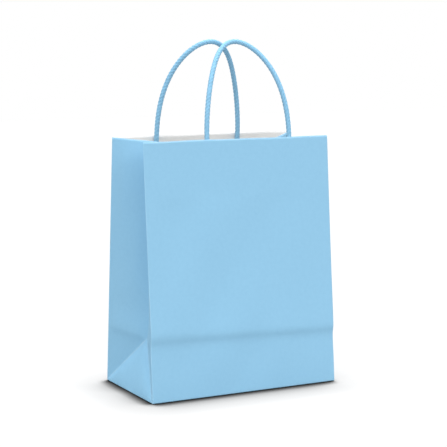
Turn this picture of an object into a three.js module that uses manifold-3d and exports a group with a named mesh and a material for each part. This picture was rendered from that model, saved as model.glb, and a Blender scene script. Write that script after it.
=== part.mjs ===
// A standing paper carrier bag: one folded sheet with tucked side gussets and a glued block bottom,
// and two twisted paper handles, each glued between two paper strips inside its wall.
// Millimetres, +Z up, front wall towards -Y, origin on the surface under the middle of the base.
import * as THREE from "three";
import { mergeVertices } from "three/addons/utils/BufferGeometryUtils.js";
import Module from "manifold-3d";

const kernel = await Module();
kernel.setup();
const { Manifold, Mesh: SolidMesh } = kernel;

// The bag, as it is cut and creased
const BAG_WIDTH = 203;
const BAG_DEPTH = 110;
const BAG_HEIGHT = 248;
const PAPER = 0.2;
const SEAM_WIDTH = 18;
const SEAM_INSET = 14;
const FLAP_OVERLAP = 24;

// How far the mouth stands open, front wall to back wall
const MOUTH_DEPTH = 73;

// The handles and the strips that hold them
const CORD_DIAMETER = 5;
const HANDLE_SPAN = 91;
const HANDLE_RISE = 95;
const HANDLE_LEAN = 22;
const FRONT_HANDLE_OFFSET = 13.5;
const BACK_HANDLE_OFFSET = 9;
const STRIP_WIDTH = 140;
const STRIP_HEIGHT = 42;
const STRIP_DROP = 8;
const CORD_END_MARGIN = 4;
const RIDGE_SPREAD = 3.4; // half the width of a cover's ridge, in cord radii
const GLUE_GAP = 0.3;

// How finely the curved surfaces are cut
const GUSSET_STEPS = 12;
const CORD_SIDES = 10;
const CORD_STEPS = 78;
const RIDGE_STEPS = 18;

// What the driving sizes give
const HALF_WIDTH = BAG_WIDTH / 2;
const HALF_DEPTH = BAG_DEPTH / 2;
const BASE_LIFT = 2 * PAPER;
const WALL_LEAN = Math.asin((BAG_DEPTH - MOUTH_DEPTH) / 2 / BAG_HEIGHT);
const GUSSET_LEAN = Math.acos((1 - Math.sin(WALL_LEAN)) / Math.cos(WALL_LEAN));
const CORD_RADIUS = CORD_DIAMETER / 2;
const STRIP_TOP = BAG_HEIGHT - STRIP_DROP;
const STRIP_BOTTOM = STRIP_TOP - STRIP_HEIGHT;
const BACKING_FACE = PAPER + GLUE_GAP;
const COVER_FACE = BACKING_FACE + PAPER + GLUE_GAP;
const CORD_AXIS = COVER_FACE + CORD_RADIUS;
const RIDGE_REACH = CORD_RADIUS * RIDGE_SPREAD;

const BLUE_PAPER = new THREE.MeshStandardMaterial({ color: 0x98ccec, roughness: 0.85, metalness: 0 });
const BLUE_CORD = new THREE.MeshStandardMaterial({ color: 0x8fc6e8, roughness: 0.8, metalness: 0 });
const WHITE_PAPER = new THREE.MeshStandardMaterial({ color: 0xf2f1ec, roughness: 0.9, metalness: 0 });

// Solids in and out of the boolean kernel

function solidOf(geometry) {
  const bare = new THREE.BufferGeometry();
  bare.setAttribute("position", geometry.getAttribute("position"));
  bare.setIndex(geometry.index);
  const merged = mergeVertices(bare, 1e-4);
  return new Manifold(
    new SolidMesh({
      numProp: 3,
      vertProperties: merged.getAttribute("position").array,
      triVerts: new Uint32Array(merged.index.array),
    }),
  );
}

function geometryOf(solid) {
  const mesh = solid.getMesh();
  const geometry = new THREE.BufferGeometry();
  geometry.setAttribute("position", new THREE.BufferAttribute(mesh.vertProperties, mesh.numProp));
  geometry.setIndex(new THREE.BufferAttribute(mesh.triVerts, 1));
  geometry.computeVertexNormals();
  return geometry;
}

// The folded sheet
// Every crease keeps its flat length, so the shape follows from how far the mouth stands open.

// The fold line between the front wall and the right gusset, a given paper length above the base.
function wallEdge(paperHeight) {
  return new THREE.Vector3(
    HALF_WIDTH,
    -HALF_DEPTH + paperHeight * Math.sin(WALL_LEAN),
    paperHeight * Math.cos(WALL_LEAN),
  );
}

// The next point up a gusset's middle crease: one step along the crease from the last point, and half
// a gusset's width from the wall's fold line, so it is where two circles in the bag's middle plane meet.
function nextCreasePoint(last, paperHeight, step) {
  const edge = wallEdge(paperHeight);
  const reach = Math.sqrt(HALF_DEPTH ** 2 - edge.y ** 2);
  const across = edge.x - last.x;
  const up = edge.z - last.z;
  const apart = Math.hypot(across, up);
  const along = (step ** 2 - reach ** 2 + apart ** 2) / (2 * apart);
  const aside = Math.sqrt(step ** 2 - along ** 2);
  return new THREE.Vector3(
    last.x + (along * across - aside * up) / apart,
    0,
    last.z + (along * up + aside * across) / apart,
  );
}

// A ring of the sheet's six fold lines, counterclockwise from above: the front wall's two,
// the right gusset's middle, the back wall's two, the left gusset's middle.
function ringOf(edge, crease) {
  const { x, y, z } = edge;
  return [
    new THREE.Vector3(-x, y, z),
    new THREE.Vector3(x, y, z),
    new THREE.Vector3(crease.x, 0, crease.z),
    new THREE.Vector3(x, -y, z),
    new THREE.Vector3(-x, -y, z),
    new THREE.Vector3(-crease.x, 0, crease.z),
  ];
}

// Rings from the base to the mouth. The gusset's creases meet half the bag's depth above the base.
function foldedRings() {
  const apex = new THREE.Vector3(
    HALF_WIDTH - HALF_DEPTH * Math.sin(GUSSET_LEAN),
    0,
    HALF_DEPTH * Math.cos(GUSSET_LEAN),
  );
  const rings = [
    ringOf(wallEdge(0), new THREE.Vector3(HALF_WIDTH, 0, 0)),
    ringOf(wallEdge(HALF_DEPTH), apex),
  ];
  const step = (BAG_HEIGHT - HALF_DEPTH) / GUSSET_STEPS;
  let crease = apex;
  for (let i = 1; i <= GUSSET_STEPS; i++) {
    const paperHeight = HALF_DEPTH + i * step;
    crease = nextCreasePoint(crease, paperHeight, step);
    rings.push(ringOf(wallEdge(paperHeight), crease));
  }
  return rings;
}

// The sheet's facets, facing out. Each facet beside a gusset's middle splits on the line from the wall's
// fold, which makes the two slanted creases from the base's corners to the gusset's apex.
function sheetFacets(ringCount) {
  const facets = [];
  const sides = 6;
  for (let side = 1; side < sides - 1; side++) facets.push([0, side + 1, side]);
  for (let ring = 0; ring < ringCount - 1; ring++) {
    for (let side = 0; side < sides; side++) {
      const a = ring * sides + side;
      const b = ring * sides + ((side + 1) % sides);
      const c = b + sides;
      const d = a + sides;
      const splitsFromA = side % 3 !== 2;
      if (splitsFromA) facets.push([a, b, c], [a, c, d]);
      else facets.push([a, b, d], [b, c, d]);
    }
  }
  return facets;
}

// For each point, the shift that moves all its facets inwards by one paper thickness.
function inwardShifts(points, facets) {
  const sums = points.map(() => ({ xx: 1e-7, xy: 0, xz: 0, yy: 1e-7, yz: 0, zz: 1e-7, n: new THREE.Vector3() }));
  for (const facet of facets) {
    const [a, b, c] = facet.map((i) => points[i]);
    const normal = new THREE.Triangle(a, b, c).getNormal(new THREE.Vector3());
    for (const i of facet) {
      const sum = sums[i];
      sum.xx += normal.x * normal.x;
      sum.xy += normal.x * normal.y;
      sum.xz += normal.x * normal.z;
      sum.yy += normal.y * normal.y;
      sum.yz += normal.y * normal.z;
      sum.zz += normal.z * normal.z;
      sum.n.add(normal);
    }
  }
  return sums.map(({ xx, xy, xz, yy, yz, zz, n }) => {
    const normals = new THREE.Matrix3().set(xx, xy, xz, xy, yy, yz, xz, yz, zz);
    return n.multiplyScalar(-PAPER).applyMatrix3(normals.invert());
  });
}

// The sheet with its thickness: outer face, inner face, and the cut rim at the mouth.
function foldedSheet() {
  const rings = foldedRings();
  const outer = rings.flat();
  const facets = sheetFacets(rings.length);
  const shifts = inwardShifts(outer, facets);
  const inner = outer.map((point, i) => point.clone().add(shifts[i]));
  const count = outer.length;
  const index = [...facets];
  for (const [a, b, c] of facets) index.push([a + count, c + count, b + count]);
  const mouth = count - 6;
  for (let side = 0; side < 6; side++) {
    const a = mouth + side;
    const b = mouth + ((side + 1) % 6);
    index.push([a, b, b + count], [a, b + count, a + count]);
  }
  const geometry = new THREE.BufferGeometry();
  geometry.setFromPoints([...outer, ...inner]);
  geometry.setIndex(index.flat());
  return geometry.translate(0, 0, BASE_LIFT);
}

// A bottom flap: a trapezium from the base's long edge, with corners folded at 45 degrees, past the middle.
function bottomFlap(thickness) {
  const reach = HALF_DEPTH + FLAP_OVERLAP / 2;
  const flap = new THREE.Shape([
    new THREE.Vector2(-HALF_WIDTH, -HALF_DEPTH),
    new THREE.Vector2(HALF_WIDTH, -HALF_DEPTH),
    new THREE.Vector2(HALF_WIDTH - reach, -HALF_DEPTH + reach),
    new THREE.Vector2(-HALF_WIDTH + reach, -HALF_DEPTH + reach),
  ]);
  const sunkIn = PAPER / 4;
  const geometry = new THREE.ExtrudeGeometry(flap, { depth: thickness + sunkIn, bevelEnabled: false });
  return geometry.translate(0, 0, BASE_LIFT - thickness);
}

// The glued side seam, which lies on the back wall as a second thickness of paper.
function sideSeam() {
  const sunkIn = PAPER / 4;
  const length = BAG_HEIGHT - 2 * PAPER;
  const geometry = new THREE.BoxGeometry(SEAM_WIDTH, PAPER + sunkIn, length);
  geometry.translate(HALF_WIDTH - SEAM_INSET - SEAM_WIDTH / 2, (sunkIn - PAPER) / 2, PAPER + length / 2);
  geometry.rotateX(-WALL_LEAN);
  geometry.translate(0, -HALF_DEPTH, BASE_LIFT);
  return geometry.rotateZ(Math.PI);
}

function bagBody() {
  const frontFlap = bottomFlap(PAPER);
  const backFlap = bottomFlap(2 * PAPER).rotateZ(Math.PI);
  const pieces = [foldedSheet(), frontFlap, backFlap, sideSeam()];
  return new THREE.Mesh(geometryOf(Manifold.union(pieces.map(solidOf))), BLUE_PAPER);
}

// The handle unit, in its wall's own frame: x along the wall, y into the bag, z up the paper

// A cord's middle line: two straight legs in the strips and half an ellipse above the rim, which leans
// into the bag more and more as it rises.
class HandleLine extends THREE.Curve {
  constructor() {
    super();
    this.legLength = BAG_HEIGHT - STRIP_BOTTOM - CORD_END_MARGIN;
    this.archLength = new THREE.EllipseCurve(0, 0, HANDLE_SPAN / 2, HANDLE_RISE, 0, Math.PI).getLength();
  }

  getPoint(t, target = new THREE.Vector3()) {
    const length = 2 * this.legLength + this.archLength;
    const beyondMiddle = (t - 0.5) * length;
    const side = Math.sign(beyondMiddle);
    const downLeg = Math.abs(beyondMiddle) - this.archLength / 2;
    if (downLeg >= 0) return target.set((side * HANDLE_SPAN) / 2, CORD_AXIS, BAG_HEIGHT - downLeg);
    const angle = (beyondMiddle / this.archLength) * Math.PI;
    const rise = Math.cos(angle);
    return target.set(
      (HANDLE_SPAN / 2) * Math.sin(angle),
      CORD_AXIS + HANDLE_LEAN * rise ** 3,
      BAG_HEIGHT + HANDLE_RISE * rise,
    );
  }
}

function handleCord() {
  const section = new THREE.Shape().absarc(0, 0, CORD_RADIUS, 0, 2 * Math.PI);
  const geometry = new THREE.ExtrudeGeometry(section, {
    steps: CORD_STEPS,
    curveSegments: CORD_SIDES / 2,
    extrudePath: new HandleLine(),
    bevelEnabled: false,
  });
  return new THREE.Mesh(geometry, BLUE_CORD);
}

// The flat strip that the cord lies on.
function stripBacking() {
  const geometry = new THREE.BoxGeometry(STRIP_WIDTH, PAPER, STRIP_HEIGHT);
  geometry.translate(0, BACKING_FACE + PAPER / 2, STRIP_BOTTOM + STRIP_HEIGHT / 2);
  return new THREE.Mesh(geometry, WHITE_PAPER);
}

// The strip glued over the cord's two legs, with a rounded ridge over each.
function stripCover() {
  const profile = [new THREE.Vector2(-STRIP_WIDTH / 2, COVER_FACE)];
  for (const leg of [-HANDLE_SPAN / 2, HANDLE_SPAN / 2]) {
    for (let i = 0; i <= RIDGE_STEPS; i++) {
      const across = (2 * i) / RIDGE_STEPS - 1;
      const height = (CORD_DIAMETER + GLUE_GAP) * (0.5 + 0.5 * Math.cos(across * Math.PI));
      profile.push(new THREE.Vector2(leg + across * RIDGE_REACH, COVER_FACE + height));
    }
  }
  profile.push(new THREE.Vector2(STRIP_WIDTH / 2, COVER_FACE));
  const innerFace = profile.map((p) => new THREE.Vector2(p.x, p.y + PAPER)).reverse();
  const geometry = new THREE.ExtrudeGeometry(new THREE.Shape([...profile, ...innerFace]), {
    depth: STRIP_HEIGHT,
    bevelEnabled: false,
  });
  return new THREE.Mesh(geometry.translate(0, 0, STRIP_BOTTOM), WHITE_PAPER);
}

// One wall's handle unit, hung in a frame that lies in the wall's outer face.
function handleUnit(side, turn, offset) {
  const parts = {
    [`${side}_handle_cord`]: handleCord(),
    [`${side}_strip_backing`]: stripBacking(),
    [`${side}_strip_cover`]: stripCover(),
  };
  const wall = new THREE.Group();
  wall.position.set(offset, -HALF_DEPTH, BASE_LIFT);
  wall.rotation.x = -WALL_LEAN;
  for (const [name, mesh] of Object.entries(parts)) {
    mesh.name = name;
    wall.add(mesh);
  }
  const unit = new THREE.Group();
  unit.rotation.z = turn;
  unit.add(wall);
  return unit;
}

const body = bagBody();
body.name = "bag_body";

const bag = new THREE.Group();
bag.name = "paper_carrier_bag";
bag.add(body);
bag.add(handleUnit("front", 0, FRONT_HANDLE_OFFSET));
bag.add(handleUnit("back", Math.PI, BACK_HANDLE_OFFSET));

export default bag;
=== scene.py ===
"""A standing paper carrier bag with tucked gussets and twisted paper handles, on a white studio floor."""

import math

import bpy
import numpy as np
from mathutils import Matrix, Vector


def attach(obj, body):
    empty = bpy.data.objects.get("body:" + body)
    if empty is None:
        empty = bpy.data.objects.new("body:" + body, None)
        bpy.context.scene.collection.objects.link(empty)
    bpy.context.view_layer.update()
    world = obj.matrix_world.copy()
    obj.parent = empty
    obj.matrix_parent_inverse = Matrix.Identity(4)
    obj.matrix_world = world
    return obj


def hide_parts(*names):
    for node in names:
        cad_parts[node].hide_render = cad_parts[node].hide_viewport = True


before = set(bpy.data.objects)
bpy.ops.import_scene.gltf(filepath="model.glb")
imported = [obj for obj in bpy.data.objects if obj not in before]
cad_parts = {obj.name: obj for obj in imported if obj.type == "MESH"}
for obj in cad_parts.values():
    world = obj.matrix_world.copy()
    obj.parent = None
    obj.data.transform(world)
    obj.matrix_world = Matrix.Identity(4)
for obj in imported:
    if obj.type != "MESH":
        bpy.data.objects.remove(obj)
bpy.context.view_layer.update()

MM = 0.001

# The bag's sizes, as its solids have them
BAG_WIDTH = 203 * MM
BAG_DEPTH = 110 * MM
BAG_HEIGHT = 248 * MM
MOUTH_DEPTH = 73 * MM
PAPER = 0.2 * MM
BASE_LIFT = 2 * PAPER
SEAM_WIDTH = 18 * MM
SEAM_INSET = 14 * MM
SEAM_SLOPE = 0.15 * MM
FLAP_OVERLAP = 24 * MM

# The handle units
CORD_RADIUS = 2.5 * MM
HANDLE_SPAN = 91 * MM
HANDLE_RISE = 95 * MM
HANDLE_LEAN = 22 * MM
STRIP_WIDTH = 140 * MM
STRIP_HEIGHT = 42 * MM
STRIP_DROP = 8 * MM
STRIP_COLUMNS = 281
STRIP_ROWS = 22
RIDGE_SPREAD = 3.4  # half the width of a cover's ridge, in cord radii
CORD_END_MARGIN = 4 * MM
LEG_POINTS = 40
ARCH_POINTS = 400
GLUE_GAP = 0.3 * MM
HANDLES = {
    "front": {"turn": 0.0, "offset": 13.5 * MM},
    "back": {"turn": math.pi, "offset": 9 * MM},
}

# The twist of a cord: its strands, and grooves whose depth changes slowly along it
TWIST_PITCH = 11.5 * MM
STRANDS = 3
GROOVE = 0.17
GROOVE_POWER = 2.2
GROOVE_CHANGE = 0.6
CHANGE_RATES = (0.02, 0.09)  # in turns per mm
CHANGE_TURN = 6.3  # about one whole turn
CHANGE_COUNT = 5

# How round the folds are
FOLD_ROUNDING = 1.1 * MM
CREASE_ROUNDING = 2.6 * MM
BASE_ROUNDING = 1.0 * MM
ROUNDING_TAPS = 7
ROUNDING_FALL = 0.8

# Slight waves in the paper, which die out at the folds, near the base and behind the strips
WAVE = 0.4 * MM
WAVE_TURNS = (2, 12)
WAVE_RISE = 2.2
WAVE_FROM_FOLD = 22 * MM
WAVE_POWER = 1.5
WAVE_BOTTOM = 4 * MM
WAVE_FROM_BOTTOM = 30 * MM
STRIP_MARGIN = 14 * MM
STRIP_RAMP = 12 * MM
STRIP_HOLD = 0.9
RIM_WAVE = 0.25 * MM
RIM_WAVE_POWER = 8

# The gussets: how they bow, the ridge at their level crease, and how they bend in at the rim
LOWER_ZONE = 80 * MM
GUSSET_BOW = 1.8 * MM
BOW_RAMP = 45 * MM
TRIANGLE_BOW = 2.2 * MM
TRIANGLE_RAMP = 30 * MM
GUSSET_CREASE_RIDGE = 1.2 * MM
RIDGE_ABOVE_CREASE = 4 * MM
RIDGE_BELOW = 5 * MM
RIDGE_ABOVE = 10 * MM
RIDGE_END = 0.25
RIM_BEND = 1.4 * MM
RIM_BEND_OUTER = 26 * MM
RIM_BEND_INNER = 13 * MM
RIM_BEND_SHIFT = 1.6
RIM_BEND_POWER = 1.3
EDGE_HOLD = 12 * MM

# The level step on the front wall, and the dent under its right end
FRONT_CREASE_LEFT = 59 * MM
FRONT_CREASE_RIGHT = 52.5 * MM
FRONT_CREASE_STEP = 2.9 * MM
STEP_LOSS = 0.3
STEP_SPREAD_LEFT = 5.0 * MM
STEP_SPREAD_RIGHT = 3.8 * MM
STEP_FADE = 60 * MM
FRONT_FOLLOW = 16 * MM
EDGE_DENT = 0.6 * MM
DENT_DROP = 8 * MM
DENT_BELOW = 9 * MM
DENT_ABOVE = 12 * MM
DENT_START = 11 / 12

# Rubbed paper along the folds: how wide, how patchy and how pale
WEAR_WIDTH = 0.8 * MM
WEAR_MEAN = 0.6
WEAR_CHANGE = 0.3
WEAR_LEAST = 0.15
WEAR_PATCHES = (6, 8)
WEAR_TINT = 0.12

# The grain of the paper
CLOUD_SCALE = 260
CLOUD_DETAIL = 5
CLOUD_ROUGHNESS = 0.65
CLOUD_TONES = (0.3, 0.62)
GRAIN_SCALE = 1500
GRAIN_DETAIL = 4
GRAIN_STRETCH = (1, 1, 0.35)
GRAIN_DEPTH = 0.1 * MM
PAPER_FIBRE = 0.12
CORD_FIBRE = 0.25
BLUE_ROUGHNESS = 0.82
WHITE_ROUGHNESS = 0.88
CORD_ROUGHNESS = 0.78
ROUGHNESS_CHANGE = 0.06
PAPER_SPECULAR = 0.25

# Where the photograph was taken from, for a square frame
CAMERA_PLACE = Vector((-661.6, -1270.0, 352.7)) * MM
CAMERA_AZIMUTH = -27.63
CAMERA_PITCH = 7.65
FOCAL_PIXELS = 1446.9
FRAME_PIXELS = 447
SENSOR_MM = 36
CLIP_END = 50

# Each lamp: where it shines from, what a white face square to it gets, and how wide it is in degrees
LAMPS = {
    "top_light": ((-0.15, -0.05, 1), 0.66, 50),
    "back_light": ((0.28, 0.35, 1), 0.3, 30),
    "front_light": ((0.05, -0.8, 0.6), 0.34, 45),
    "side_light": ((-0.9, -0.3, 0.25), 0.12, 40),
}

# The light from all round, and how much of its light the floor gives back
WORLD_LIGHT = 0.5
FLOOR_HALF = 4.0
FLOOR_BOUNCE = 0.38
FLOOR_SEEN = 0.15
FLOOR_OWN_WHITE = 0.8

# The floor's shadow: which way it leans, how far it reaches, and how light the floor is for how open it is
SHADOW_FROM = (0.55, 0.5, 1)
SHADOW_SAMPLES = 24
LINE_REACH = 14 * MM
LINE_LEVELS = ((0.43, 0.02), (0.6, 0.3), (0.93, 0.97))
SHADOW_REACH = 48 * MM
SHADOW_LEVELS = ((0.45, 0.36), (0.535, 0.51), (0.63, 0.68), (0.71, 0.81), (0.805, 0.88), (0.95, 0.955))

# Colours of the paper in linear light
BLUE = (0.314, 0.604, 0.831)
BLUE_SHADE = (0.300, 0.586, 0.814)
CORD_BLUE = (0.285, 0.578, 0.818)
CORD_SHADE = [0.9 * c for c in CORD_BLUE]
WHITE = (0.910, 0.908, 0.900)
WHITE_SHADE = [0.96 * c for c in WHITE]

HALF_WIDTH = BAG_WIDTH / 2
HALF_DEPTH = BAG_DEPTH / 2
GIRTH = 2 * (BAG_WIDTH + BAG_DEPTH)
PANEL_STARTS = np.cumsum([0, BAG_WIDTH, BAG_DEPTH, BAG_WIDTH, BAG_DEPTH])
LEAN = math.asin((BAG_DEPTH - MOUTH_DEPTH) / 2 / BAG_HEIGHT)
TUCK = math.acos((1 - math.sin(LEAN)) / math.cos(LEAN))
STRIP_TOP = BAG_HEIGHT - STRIP_DROP
STRIP_BOTTOM = STRIP_TOP - STRIP_HEIGHT
BACKING_FACE = PAPER + GLUE_GAP
COVER_FACE = BACKING_FACE + PAPER + GLUE_GAP
CORD_AXIS = COVER_FACE + CORD_RADIUS


# The folded sheet, with sharp creases. u is the paper's height above the base fold.


def middle_crease(step=1 * MM, beyond=8 * MM):
    """Paper heights up a gusset's middle crease, with how far in and how high each lies."""
    heights = [0.0, HALF_DEPTH]
    inward = [0.0, HALF_DEPTH * math.sin(TUCK)]
    rise = [0.0, HALF_DEPTH * math.cos(TUCK)]
    while heights[-1] < BAG_HEIGHT + beyond:
        u = heights[-1] + step
        edge_y = HALF_DEPTH - u * math.sin(LEAN)
        edge_z = u * math.cos(LEAN)
        reach = math.sqrt(HALF_DEPTH**2 - edge_y**2)
        across, up = -inward[-1], edge_z - rise[-1]
        apart = math.hypot(across, up)
        along = (step**2 - reach**2 + apart**2) / (2 * apart)
        aside = math.sqrt(step**2 - along**2)
        heights.append(u)
        inward.append(inward[-1] + (along * across + aside * up) / apart)
        rise.append(rise[-1] + (along * up - aside * across) / apart)
    return np.array(heights), np.array(inward), np.array(rise)


CREASE_HEIGHTS, CREASE_INWARD, CREASE_RISE = middle_crease()


def gusset_points(v, u):
    """(inward, y, z) of points on a gusset; v runs across it from front to back, 0 on its middle crease."""
    across = np.clip(np.abs(v) / HALF_DEPTH, 0, 1)
    back = np.sign(v)
    edge_y = HALF_DEPTH - u * math.sin(LEAN)
    edge_z = u * math.cos(LEAN)
    crease_in = np.interp(u, CREASE_HEIGHTS, CREASE_INWARD)
    crease_z = np.interp(u, CREASE_HEIGHTS, CREASE_RISE)
    upper = (crease_in * (1 - across), back * edge_y * across, crease_z + (edge_z - crease_z) * across)

    apex_in, apex_z = HALF_DEPTH * math.sin(TUCK), HALF_DEPTH * math.cos(TUCK)
    end_y, end_z = HALF_DEPTH * (1 - math.sin(LEAN)), HALF_DEPTH * math.cos(LEAN)
    up, toward = u / HALF_DEPTH, 1 - across
    side_y = HALF_DEPTH + up * (end_y - HALF_DEPTH) - toward * end_y
    beside = (toward * apex_in, back * side_y, up * end_z + toward * (apex_z - end_z))

    triangle = (u * math.sin(TUCK), v, u * math.cos(TUCK))
    under = (-u, v, 0 * u)
    is_upper = u >= HALF_DEPTH
    is_triangle = np.abs(v) <= HALF_DEPTH - u
    is_under = u < 0
    return [
        np.where(is_under, d, np.where(is_upper, a, np.where(is_triangle, c, b)))
        for a, b, c, d in zip(upper, beside, triangle, under)
    ]


def sharp_sheet(s, u):
    """Points of the folded sheet; s runs round it from the front wall's left fold, seen from the front."""
    s = np.mod(s, GIRTH)
    wall_y = np.where(u < 0, HALF_DEPTH + u, HALF_DEPTH - u * math.sin(LEAN))
    wall_z = np.where(u < 0, 0, u * math.cos(LEAN))
    starts = PANEL_STARTS[:4]
    panel = np.searchsorted(starts, s, side="right") - 1
    along = s - starts[panel]
    v = np.where(panel == 1, along - HALF_DEPTH, HALF_DEPTH - along)
    inward, gusset_y, gusset_z = gusset_points(v, u)
    x = np.choose(panel, [along - HALF_WIDTH, HALF_WIDTH - inward, HALF_WIDTH - along, inward - HALF_WIDTH])
    y = np.choose(panel, [-wall_y, gusset_y, wall_y, gusset_y])
    z = np.choose(panel, [wall_z, gusset_z, wall_z, gusset_z])
    return np.stack([x, y, z], axis=-1)


def rising(value, length):
    """0 for a value up to 0, then rising evenly to 1 at the length."""
    return np.clip(value / length, 0, 1)


def rounded_sheet(s, u):
    """The sheet with its folds rounded: each point is the middle of the sharp sheet just around it."""
    taps = np.linspace(-1, 1, ROUNDING_TAPS)
    weights = 1 - ROUNDING_FALL * taps**2
    weights = weights / weights.sum()
    soft = rising(u - 2 * BASE_ROUNDING, 6 * CREASE_ROUNDING)
    reach = BASE_ROUNDING + (CREASE_ROUNDING - BASE_ROUNDING) * soft
    total = np.zeros(s.shape + (3,))
    for tap_s, weight_s in zip(taps, weights):
        for tap_u, weight_u in zip(taps, weights):
            total += weight_s * weight_u * sharp_sheet(s + tap_s * FOLD_ROUNDING, u + tap_u * reach)
    return total


def grid_normals(points):
    """Outward normals of a grid of points that closes on itself along its second axis."""
    round_it = np.roll(points, -1, axis=1) - np.roll(points, 1, axis=1)
    up_it = np.gradient(points, axis=0)
    normals = np.cross(round_it, up_it)
    return normals / np.linalg.norm(normals, axis=-1, keepdims=True)


# How the paper stands out of its folded shape, and where it is rubbed


def smooth_waves(s, u, seed, count=16):
    """Gentle random waves, about -1 to 1, the same on each run, that close on themselves round the bag."""
    dice = np.random.default_rng(seed)
    total = np.zeros_like(s)
    for _ in range(count):
        turns = dice.integers(*WAVE_TURNS)
        rise = dice.uniform(-WAVE_RISE, WAVE_RISE)
        phase = dice.uniform(0, 2 * math.pi)
        total += np.sin(2 * math.pi * (turns * s / GIRTH + rise * u / BAG_HEIGHT) + phase)
    return total / math.sqrt(count)


def bell(distance, below, above):
    """1 at no distance, fading over the length below where distance is negative, else over that above."""
    return np.exp(-0.5 * (distance / np.where(distance < 0, below, above)) ** 2)


def panel_and_edge(s):
    """Which panel each place is on, counted from the front wall, and how far the nearest upright fold is."""
    panel = np.clip(np.searchsorted(PANEL_STARTS, s, side="right") - 1, 0, 3)
    return panel, np.minimum(s - PANEL_STARTS[panel], PANEL_STARTS[panel + 1] - s)


def front_relief(s, u):
    """How far forward the front wall stands: a soft step where the bag was folded flat, fading upwards.

    The gussets beside the wall follow it and settle back within a short way."""
    across = rising(np.where(s > GIRTH / 2, s - GIRTH, s), BAG_WIDTH)
    aside = np.minimum(np.maximum(s - BAG_WIDTH, 0), np.maximum(GIRTH - s, 0)) * (s > BAG_WIDTH)
    follow = np.clip(1 - aside / FRONT_FOLLOW, 0, 1) ** 2
    crease = FRONT_CREASE_LEFT + (FRONT_CREASE_RIGHT - FRONT_CREASE_LEFT) * across
    spread = STEP_SPREAD_LEFT + (STEP_SPREAD_RIGHT - STEP_SPREAD_LEFT) * across
    above = u - crease
    step = 0.5 + 0.5 * np.tanh(above / spread)
    fade = np.exp(-np.maximum(above, 0) / STEP_FADE)
    near_end = rising(across - DENT_START, 1 - DENT_START)
    dent = EDGE_DENT * bell(above + DENT_DROP, DENT_BELOW, DENT_ABOVE) * near_end
    return (FRONT_CREASE_STEP * (1 - STEP_LOSS * across) * step * fade - dent) * follow


def gusset_relief(from_edge, u):
    """How far half a gusset stands out: bowed, with a ridge at its level crease, and bent in at the rim."""
    across = rising(from_edge, HALF_DEPTH)
    bow = GUSSET_BOW * np.sin(math.pi * across) * rising(u - HALF_DEPTH, BOW_RAMP)
    ridge = GUSSET_CREASE_RIDGE * bell(u - HALF_DEPTH - RIDGE_ABOVE_CREASE, RIDGE_BELOW, RIDGE_ABOVE)
    ridge = ridge * rising(1 - across, RIDGE_END)
    up_triangle = rising(u, np.maximum(from_edge, 1 * MM))
    triangle_bow = 4 * TRIANGLE_BOW * up_triangle * (1 - up_triangle) * rising(from_edge, TRIANGLE_RAMP)
    bend_length = RIM_BEND_OUTER - (RIM_BEND_OUTER - RIM_BEND_INNER) * np.minimum(RIM_BEND_SHIFT * across, 1)
    bend = rising(u - (BAG_HEIGHT - bend_length), bend_length) ** RIM_BEND_POWER
    return (bow + ridge - RIM_BEND * bend) * rising(from_edge, EDGE_HOLD) + triangle_bow


def paper_relief(s, u):
    """How far the paper stands out of its folded shape."""
    panel, from_edge = panel_and_edge(s)
    on_gusset = panel % 2 == 1
    middle_gap = np.where(on_gusset, HALF_DEPTH - from_edge, HALF_DEPTH)
    free = rising(np.minimum(from_edge, middle_gap), WAVE_FROM_FOLD) ** WAVE_POWER
    free = free * rising(u - WAVE_BOTTOM, WAVE_FROM_BOTTOM)
    strip_zone = rising(u - (STRIP_BOTTOM - STRIP_MARGIN), STRIP_RAMP) * ~on_gusset
    waves = WAVE * free * (1 - STRIP_HOLD * strip_zone) * smooth_waves(s, u, seed=5)
    return waves + np.where(on_gusset, gusset_relief(from_edge, u), 0)


def seam_step(s):
    """1 where the glued seam doubles the back wall's paper, else 0."""
    from_left = s - BAG_WIDTH - BAG_DEPTH
    low, high = BAG_WIDTH - SEAM_INSET - SEAM_WIDTH, BAG_WIDTH - SEAM_INSET
    return ((from_left > low) & (from_left < high)).astype(float)


def fold_wear(s, u):
    """How rubbed the paper is: along its upright folds, the gussets' creases, the base and the rim."""
    panel, from_edge = panel_and_edge(s)
    from_slant = np.abs(u - from_edge) / math.sqrt(2)
    from_crease = np.where(u > HALF_DEPTH, HALF_DEPTH - from_edge, from_slant)
    from_crease = np.where(panel % 2 == 1, from_crease, BAG_WIDTH)
    # The rim's worn line is half as wide as the others.
    from_end = np.minimum(np.abs(u), 2 * np.abs(BAG_HEIGHT - u))
    nearest = np.min([from_edge, from_crease, from_end], axis=0)
    patches = smooth_waves(WEAR_PATCHES[0] * s, WEAR_PATCHES[1] * u, seed=21)
    patchy = np.clip(WEAR_MEAN + WEAR_CHANGE * patches, WEAR_LEAST, 1)
    return patchy * np.exp(-((nearest / WEAR_WIDTH) ** 2))


# The sheet's mesh


def mesh_object(name, points, faces, materials, face_materials=None, smooth=True):
    mesh = bpy.data.meshes.new(name)
    mesh.from_pydata([tuple(p) for p in points], [], faces)
    for material in materials:
        mesh.materials.append(material)
    if face_materials is not None:
        mesh.polygons.foreach_set("material_index", np.array(face_materials, dtype=np.int32))
    mesh.polygons.foreach_set("use_smooth", np.full(len(mesh.polygons), smooth))
    mesh.validate()
    mesh.update()
    piece = bpy.data.objects.new(name, mesh)
    bpy.context.scene.collection.objects.link(piece)
    return piece


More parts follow.
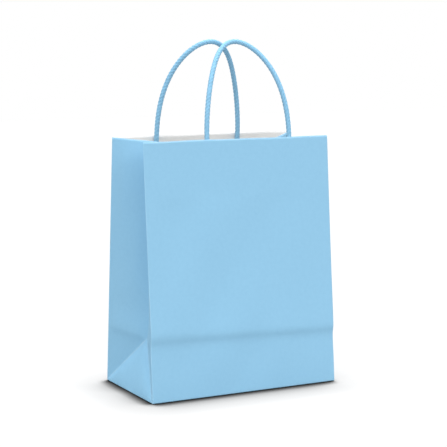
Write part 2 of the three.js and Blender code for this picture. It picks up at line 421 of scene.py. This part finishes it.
def spaced(length, dense_at, fine=0.45 * MM, coarse=3 * MM, growth=1.35):
    """Places from 0 to length, close together at each of the dense places and coarser away from them."""
    marks = sorted(set([0.0, length, *dense_at]))
    places = [0.0]
    for low, high in zip(marks, marks[1:]):
        half, step, offsets = (high - low) / 2, fine, [0.0]
        while offsets[-1] + step < half:
            offsets.append(offsets[-1] + step)
            step = min(coarse, step * growth)
        places += [low + o for o in offsets[1:]] + [high - o for o in reversed(offsets)]
    return np.array(places)


def sheet_lines():
    """Where the mesh lines lie across a wall, across a gusset and up the bag, close together at folds."""
    seam_low, seam_high = SEAM_INSET, SEAM_INSET + SEAM_WIDTH
    seam_lines = [seam_low, seam_low + SEAM_SLOPE, seam_high - SEAM_SLOPE, seam_high]
    across_wall = np.unique(np.concatenate([spaced(BAG_WIDTH, [], coarse=3.8 * MM), seam_lines]))
    across_gusset = spaced(BAG_DEPTH, [HALF_DEPTH], coarse=2 * MM)
    lower = spaced(LOWER_ZONE, [HALF_DEPTH], coarse=2 * MM)
    upper = LOWER_ZONE + spaced(BAG_HEIGHT - LOWER_ZONE, [], fine=2 * MM, coarse=3.6 * MM)
    up_bag = np.concatenate([[-2 * BASE_ROUNDING, -BASE_ROUNDING], lower, upper[1:]])
    return across_wall, across_gusset, up_bag


def lines_round_bag(across_wall, across_gusset):
    """The upright mesh lines all the way round, from the front wall's left fold."""
    return np.concatenate(
        [
            across_wall[:-1],
            BAG_WIDTH + across_gusset[:-1],
            BAG_WIDTH + BAG_DEPTH + (BAG_WIDTH - across_wall[::-1])[:-1],
            2 * BAG_WIDTH + BAG_DEPTH + across_gusset[:-1],
        ]
    )


def outer_face(s, u):
    """Points of the sheet's outer face, without the doubled seam."""
    rim_wave = RIM_WAVE * smooth_waves(s, 0 * u, seed=8, count=7)
    outer = rounded_sheet(s, u + rim_wave * (np.maximum(u, 0) / BAG_HEIGHT) ** RIM_WAVE_POWER)
    outer += grid_normals(outer) * paper_relief(s, u)[..., None]
    outer[..., 1] -= front_relief(s, u)
    outer[..., 2] += BASE_LIFT
    return outer


def side_faces(index, round_bag):
    """Faces of the walls and gussets. Each cell splits along the slanted crease of its half of the gusset."""
    rows, columns = index.shape
    to_middle = np.mod(round_bag - BAG_WIDTH, BAG_WIDTH + BAG_DEPTH) < HALF_DEPTH - 0.01 * MM
    faces = []
    for r in range(rows - 1):
        for c in range(columns):
            n = (c + 1) % columns
            a, b, d, e = index[r, c], index[r, n], index[r + 1, n], index[r + 1, c]
            faces += [(a, b, d), (a, d, e)] if to_middle[c] else [(a, b, e), (b, d, e)]
    return faces


def base_mesh(ring, wall_cells, gusset_cells, first_new):
    """Points and faces of the base, a grid whose edge is the sheet's lowest ring."""
    base = np.empty((wall_cells + 1, gusset_cells + 1), dtype=int)
    base[:, 0] = np.arange(wall_cells + 1)
    base[-1, :] = wall_cells + np.arange(gusset_cells + 1)
    base[:, -1] = (wall_cells + gusset_cells + np.arange(wall_cells + 1))[::-1]
    base[0, 1:] = len(ring) - np.arange(1, gusset_cells + 1)
    points = []
    for i in range(1, wall_cells):
        for j in range(1, gusset_cells):
            base[i, j] = first_new + len(points)
            points.append((ring[base[i, 0], 0], ring[base[-1, j], 1], BASE_LIFT))
    faces = []
    for i in range(wall_cells):
        for j in range(gusset_cells):
            faces.append((base[i, j], base[i, j + 1], base[i + 1, j + 1], base[i + 1, j]))
    return np.array(points), faces


def bag_sheet(outside, inside, cut_edge):
    """The folded sheet with its thickness: blue outer face, white inner face and the cut rim."""
    across_wall, across_gusset, up_bag = sheet_lines()
    round_bag = lines_round_bag(across_wall, across_gusset)
    s, u = np.meshgrid(round_bag, up_bag)
    outer = outer_face(s, u)
    normals = grid_normals(outer)
    normals[0] = (0, 0, -1)
    index = np.arange(s.size).reshape(s.shape)
    base_points, base_faces = base_mesh(outer[0], len(across_wall) - 1, len(across_gusset) - 1, s.size)
    faces = side_faces(index, round_bag) + base_faces

    inner = np.concatenate([(outer - PAPER * normals).reshape(-1, 3), base_points + (0, 0, PAPER)])
    doubled = PAPER * seam_step(s) * (u > 2 * BASE_ROUNDING)
    points = np.concatenate([(outer + doubled[..., None] * normals).reshape(-1, 3), base_points])
    count = len(points)
    inner_faces = [tuple(count + i for i in reversed(face)) for face in faces]
    top = index[-1]
    rim = [(a, b, count + b, count + a) for a, b in zip(top, np.roll(top, -1))]
    piece = mesh_object(
        "bag_sheet",
        np.concatenate([points, inner]),
        faces + inner_faces + rim,
        [outside, inside, cut_edge],
        [0] * len(faces) + [1] * len(inner_faces) + [2] * len(rim),
    )
    wear = np.zeros(2 * count)
    wear[: s.size] = fold_wear(s, u).ravel()
    piece.data.attributes.new("fold_wear", "FLOAT", "POINT").data.foreach_set("value", wear)
    return piece


def bottom_flap(name, turn, top, outside):
    """One bottom flap: a thin trapezium folded from the base's long edge to past the middle."""
    edge_gap = BASE_ROUNDING
    reach = HALF_DEPTH + FLAP_OVERLAP / 2
    outline = [
        (-HALF_WIDTH + edge_gap, -HALF_DEPTH + edge_gap),
        (HALF_WIDTH - edge_gap, -HALF_DEPTH + edge_gap),
        (HALF_WIDTH - reach, -HALF_DEPTH + reach),
        (-HALF_WIDTH + reach, -HALF_DEPTH + reach),
    ]
    turned = [(x * math.cos(turn), y * math.cos(turn)) for x, y in outline]
    points = [(x, y, top - PAPER) for x, y in turned] + [(x, y, top) for x, y in turned]
    faces = [(3, 2, 1, 0), (4, 5, 6, 7)]
    faces += [(i, (i + 1) % 4, (i + 1) % 4 + 4, i + 4) for i in range(4)]
    return mesh_object(name, points, faces, [outside], smooth=False)


# The handle units, in the frame of their wall: x along it, y into the bag, z up the paper


def wall_frame(handle):
    return (
        Matrix.Rotation(handle["turn"], 4, "Z")
        @ Matrix.Translation((handle["offset"], -HALF_DEPTH, BASE_LIFT))
        @ Matrix.Rotation(-LEAN, 4, "X")
    )


def cord_line(spacing):
    """Evenly spaced points down a cord's middle: a leg, half an ellipse that leans inwards, and a leg."""
    leg = np.linspace(STRIP_BOTTOM + CORD_END_MARGIN, BAG_HEIGHT, LEG_POINTS)[:-1]
    angle = np.linspace(-math.pi / 2, math.pi / 2, ARCH_POINTS)
    rise = np.clip(np.cos(angle), 0, 1)
    arch_x = HANDLE_SPAN / 2 * np.sin(angle)
    arch_y = CORD_AXIS + HANDLE_LEAN * rise**3
    arch = np.stack([arch_x, arch_y, BAG_HEIGHT + HANDLE_RISE * rise], axis=1)
    left = np.stack([np.full_like(leg, -HANDLE_SPAN / 2), np.full_like(leg, CORD_AXIS), leg], axis=1)
    right = left[::-1] * (-1, 1, 1)
    line = np.concatenate([left, arch, right])
    lengths = np.concatenate([[0], np.cumsum(np.linalg.norm(np.diff(line, axis=0), axis=1))])
    places = np.linspace(0, lengths[-1], int(lengths[-1] / spacing))
    return np.stack([np.interp(places, lengths, line[:, k]) for k in range(3)], axis=1), places


def cord_rings(spacing, sides):
    """Rings of points round a cord whose rounded strands wind round its middle line, and that line."""
    line, places = cord_line(spacing)
    tangents = np.gradient(line, axis=0)
    tangents /= np.linalg.norm(tangents, axis=1, keepdims=True)
    normal = np.array([1.0, 0, 0])
    dice = np.random.default_rng(11)
    changes = [(dice.uniform(*CHANGE_RATES), dice.uniform(0, CHANGE_TURN)) for _ in range(CHANGE_COUNT)]
    theta = np.linspace(0, 2 * math.pi, sides, endpoint=False)
    rings = []
    for centre, tangent, place in zip(line, tangents, places):
        normal = normal - tangent * normal.dot(tangent)
        normal /= np.linalg.norm(normal)
        side = np.cross(tangent, normal)
        lobe = np.mod((theta - 2 * math.pi * place / TWIST_PITCH) * STRANDS / (2 * math.pi), 1) - 0.5
        uneven = np.mean([math.sin(place / MM * rate * CHANGE_TURN + start) for rate, start in changes])
        depth = GROOVE * (1 + GROOVE_CHANGE * uneven) * np.abs(2 * lobe) ** GROOVE_POWER
        outward = np.cos(theta)[:, None] * normal + np.sin(theta)[:, None] * side
        rings.append(centre + (CORD_RADIUS * (1 - depth))[:, None] * outward)
    return rings, line


def twisted_cord(name, handle, material, spacing=0.75 * MM, sides=36):
    """A cord of twisted paper, closed at both ends."""
    rings, line = cord_rings(spacing, sides)
    points = np.concatenate(rings + [line[:1], line[-1:]])
    faces = []
    for r in range(len(rings) - 1):
        for c in range(sides):
            n = (c + 1) % sides
            faces.append((r * sides + c, r * sides + n, (r + 1) * sides + n, (r + 1) * sides + c))
    first, last = len(points) - 2, len(points) - 1
    end = (len(rings) - 1) * sides
    for c in range(sides):
        n = (c + 1) % sides
        faces.append((first, n, c))
        faces.append((last, end + c, end + n))
    piece = mesh_object(name, points, faces, [material])
    piece.data.transform(wall_frame(handle))
    return piece


def paper_strip(name, handle, face, ridge, material):
    """A glued paper strip, with a rounded ridge over each leg of the cord where ridge is its height."""
    across = np.linspace(-STRIP_WIDTH / 2, STRIP_WIDTH / 2, STRIP_COLUMNS)
    up = np.linspace(STRIP_BOTTOM, STRIP_TOP, STRIP_ROWS)
    x, z = np.meshgrid(across, up)
    from_leg = np.minimum(np.abs(np.abs(x) - HANDLE_SPAN / 2) / (CORD_RADIUS * RIDGE_SPREAD), 1)
    y = face + ridge * (0.5 + 0.5 * np.cos(from_leg * math.pi))
    back = np.stack([x, y, z], axis=-1).reshape(-1, 3)
    points = np.concatenate([back, back + (0, PAPER, 0)])
    rows, columns, count = len(up), len(across), len(back)
    index = np.arange(count).reshape(rows, columns)
    faces = []
    for r in range(rows - 1):
        for c in range(columns - 1):
            quad = (index[r, c], index[r, c + 1], index[r + 1, c + 1], index[r + 1, c])
            faces.append(quad)
            faces.append(tuple(count + i for i in reversed(quad)))
    edge = [*index[0, :], *index[1:, -1], *index[-1, -2::-1], *index[-2:0:-1, 0]]
    for a, b in zip(edge, edge[1:] + edge[:1]):
        faces.append((b, a, count + a, count + b))
    piece = mesh_object(name, points, faces, [material], smooth=False)
    piece.data.transform(wall_frame(handle))
    return piece


# Materials


def new_material(name):
    material = bpy.data.materials.new(name)
    material.use_nodes = True
    nodes = material.node_tree.nodes
    return material, nodes, material.node_tree.links, nodes["Principled BSDF"]


def noise_node(nodes, scale, detail):
    noise = nodes.new("ShaderNodeTexNoise")
    noise.inputs["Scale"].default_value = scale
    noise.inputs["Detail"].default_value = detail
    return noise


def paper_colour(nodes, links, place, colour, shade):
    """The paper's cloudy colour, paler where its folds are rubbed."""
    cloud = noise_node(nodes, CLOUD_SCALE, CLOUD_DETAIL)
    cloud.inputs["Roughness"].default_value = CLOUD_ROUGHNESS
    tones = nodes.new("ShaderNodeValToRGB")
    for element, position, tone in zip(tones.color_ramp.elements, CLOUD_TONES, (shade, colour)):
        element.position = position
        element.color = (*tone, 1)
    worn = nodes.new("ShaderNodeAttribute")
    worn.attribute_name = "fold_wear"
    rubbed = nodes.new("ShaderNodeMix")
    rubbed.data_type = "RGBA"
    rubbed.inputs["B"].default_value = (*[c + WEAR_TINT * (1 - c) for c in colour], 1)
    links.new(place, cloud.inputs["Vector"])
    links.new(cloud.outputs["Fac"], tones.inputs["Fac"])
    links.new(worn.outputs["Fac"], rubbed.inputs["Factor"])
    links.new(tones.outputs["Color"], rubbed.inputs["A"])
    return rubbed.outputs["Result"]


def paper_grain(nodes, links, place, roughness, fibre):
    """The paper's fibre grain, as relief and as roughness."""
    stretch = nodes.new("ShaderNodeMapping")
    stretch.inputs["Scale"].default_value = GRAIN_STRETCH
    grain = noise_node(nodes, GRAIN_SCALE, GRAIN_DETAIL)
    bump = nodes.new("ShaderNodeBump")
    bump.inputs["Strength"].default_value = fibre
    bump.inputs["Distance"].default_value = GRAIN_DEPTH
    rough = nodes.new("ShaderNodeMapRange")
    rough.inputs["To Min"].default_value = roughness - ROUGHNESS_CHANGE
    rough.inputs["To Max"].default_value = roughness + ROUGHNESS_CHANGE
    links.new(place, stretch.inputs["Vector"])
    links.new(stretch.outputs["Vector"], grain.inputs["Vector"])
    links.new(grain.outputs["Fac"], bump.inputs["Height"])
    links.new(grain.outputs["Fac"], rough.inputs["Value"])
    return bump.outputs["Normal"], rough.outputs["Result"]


def paper_material(name, colour, shade, roughness, fibre=PAPER_FIBRE):
    """Uncoated matt paper."""
    material, nodes, links, shader = new_material(name)
    place = nodes.new("ShaderNodeTexCoord").outputs["Object"]
    relief, rough = paper_grain(nodes, links, place, roughness, fibre)
    links.new(paper_colour(nodes, links, place, colour, shade), shader.inputs["Base Color"])
    links.new(rough, shader.inputs["Roughness"])
    links.new(relief, shader.inputs["Normal"])
    shader.inputs["Specular IOR Level"].default_value = PAPER_SPECULAR
    return material


def seen_directly(nodes, links):
    """1 for what the camera sees, in mirror or glass too, and 0 for light that a surface gives others."""
    path = nodes.new("ShaderNodeLightPath")
    seen = path.outputs["Is Camera Ray"]
    for kind in ("Is Glossy Ray", "Is Transmission Ray"):
        either = nodes.new("ShaderNodeMath")
        either.operation = "MAXIMUM"
        links.new(seen, either.inputs[0])
        links.new(path.outputs[kind], either.inputs[1])
        seen = either.outputs[0]
    return seen


def contact_shade(nodes, links, reach, levels):
    """How light the floor is for how open it is within reach, looking towards what casts the shadow."""
    near = nodes.new("ShaderNodeAmbientOcclusion")
    near.inputs["Distance"].default_value = reach
    near.samples = SHADOW_SAMPLES
    toward = nodes.new("ShaderNodeCombineXYZ")
    for socket, part in zip(toward.inputs, Vector(SHADOW_FROM).normalized()):
        socket.default_value = part
    links.new(toward.outputs["Vector"], near.inputs["Normal"])
    tones = nodes.new("ShaderNodeValToRGB")
    tones.color_ramp.elements.remove(tones.color_ramp.elements[0])
    for openness, level in levels:
        tones.color_ramp.elements.new(openness).color = (level, level, level, 1)
    links.new(near.outputs["AO"], tones.inputs["Fac"])
    return tones.outputs["Color"]


def multiplied(nodes, links, first, second):
    """The colour of one socket times another socket's colour or a plain grey level."""
    product = nodes.new("ShaderNodeMix")
    product.data_type = "RGBA"
    product.blend_type = "MULTIPLY"
    product.inputs["Factor"].default_value = 1
    links.new(first, product.inputs["A"])
    if isinstance(second, float):
        product.inputs["B"].default_value = (second, second, second, 1)
    else:
        links.new(second, product.inputs["B"])
    return product.outputs["Result"]


def floor_material():
    """A white floor with a dark line of contact and a soft shadow, which gives back only some light."""
    material, nodes, links, shader = new_material("studio_floor")
    line = contact_shade(nodes, links, LINE_REACH, LINE_LEVELS)
    soft = contact_shade(nodes, links, SHADOW_REACH, SHADOW_LEVELS)
    contact = multiplied(nodes, links, line, soft)
    seen = seen_directly(nodes, links)
    shade = nodes.new("ShaderNodeMix")
    shade.data_type = "RGBA"
    shade.inputs["A"].default_value = (*[FLOOR_BOUNCE] * 3, 1)
    own_white = nodes.new("ShaderNodeMath")
    own_white.operation = "MULTIPLY"
    own_white.inputs[1].default_value = FLOOR_OWN_WHITE
    links.new(seen, shade.inputs["Factor"])
    links.new(multiplied(nodes, links, contact, FLOOR_SEEN), shade.inputs["B"])
    links.new(seen, own_white.inputs[0])
    links.new(shade.outputs["Result"], shader.inputs["Base Color"])
    links.new(contact, shader.inputs["Emission Color"])
    links.new(own_white.outputs["Value"], shader.inputs["Emission Strength"])
    shader.inputs["Roughness"].default_value = 1
    shader.inputs["Specular IOR Level"].default_value = 0
    return material


# The studio


def studio_floor():
    half = FLOOR_HALF
    points = [(-half, -half, 0), (half, -half, 0), (half, half, 0), (-half, half, 0)]
    floor = mesh_object("studio_floor", points, [(0, 1, 2, 3)], [floor_material()], smooth=False)


def studio_world():
    world = bpy.data.worlds.new("studio")
    bpy.context.scene.world = world
    world.use_nodes = True
    nodes, links = world.node_tree.nodes, world.node_tree.links
    level = nodes.new("ShaderNodeMapRange")
    level.inputs["To Min"].default_value = WORLD_LIGHT
    level.inputs["To Max"].default_value = 1
    links.new(seen_directly(nodes, links), level.inputs["Value"])
    background = nodes["Background"]
    background.inputs["Color"].default_value = (1, 1, 1, 1)
    links.new(level.outputs["Result"], background.inputs["Strength"])


def soft_lamp(name, toward, level, angle):
    """A far, wide studio light; at a level of 1 a white face square to it renders white."""
    lamp = bpy.data.lights.new(name, "SUN")
    lamp.energy = level * math.pi
    lamp.angle = math.radians(angle)
    holder = bpy.data.objects.new(name, lamp)
    holder.rotation_euler = Vector(toward).to_track_quat("Z", "Y").to_euler()
    bpy.context.scene.collection.objects.link(holder)


def photo_camera():
    camera = bpy.data.cameras.new("photo_camera")
    camera.sensor_width = SENSOR_MM
    camera.lens = FOCAL_PIXELS / FRAME_PIXELS * SENSOR_MM
    camera.clip_end = CLIP_END
    holder = bpy.data.objects.new("photo_camera", camera)
    holder.location = CAMERA_PLACE
    holder.rotation_euler = (math.radians(90 - CAMERA_PITCH), 0, math.radians(CAMERA_AZIMUTH))
    bpy.context.scene.collection.objects.link(holder)
    bpy.context.scene.camera = holder


def build_bag():
    blue = paper_material("blue_paper", BLUE, BLUE_SHADE, BLUE_ROUGHNESS)
    white = paper_material("white_paper", WHITE, WHITE_SHADE, WHITE_ROUGHNESS)
    cord_blue = paper_material("blue_cord", CORD_BLUE, CORD_SHADE, CORD_ROUGHNESS, CORD_FIBRE)

    sheet = bag_sheet(blue, white, white)
    front_flap = bottom_flap("bottom_flap_front", 0, BASE_LIFT, blue)
    back_flap = bottom_flap("bottom_flap_back", math.pi, BASE_LIFT - PAPER, blue)
    for piece in (sheet, front_flap, back_flap):
        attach(piece, "root")
        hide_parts("bag_body")

    for side, handle in HANDLES.items():
        cord = twisted_cord(f"{side}_twisted_cord", handle, cord_blue)
        backing = paper_strip(f"{side}_backing_strip", handle, BACKING_FACE, 0, white)
        cover = paper_strip(f"{side}_cover_strip", handle, COVER_FACE, 2 * CORD_RADIUS + GLUE_GAP, white)
        made = (
            (cord, "handle_cord", "blue_cord"),
            (backing, "strip_backing", "white_paper"),
            (cover, "strip_cover", "white_paper"),
        )
        for piece, node, slot in made:
            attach(piece, "root")
            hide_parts(f"{side}_{node}")


build_bag()
studio_floor()
studio_world()
for lamp_name, (lamp_toward, lamp_level, lamp_angle) in LAMPS.items():
    soft_lamp(lamp_name, lamp_toward, lamp_level, lamp_angle)
photo_camera()
bpy.context.scene.view_settings.view_transform = "Standard"
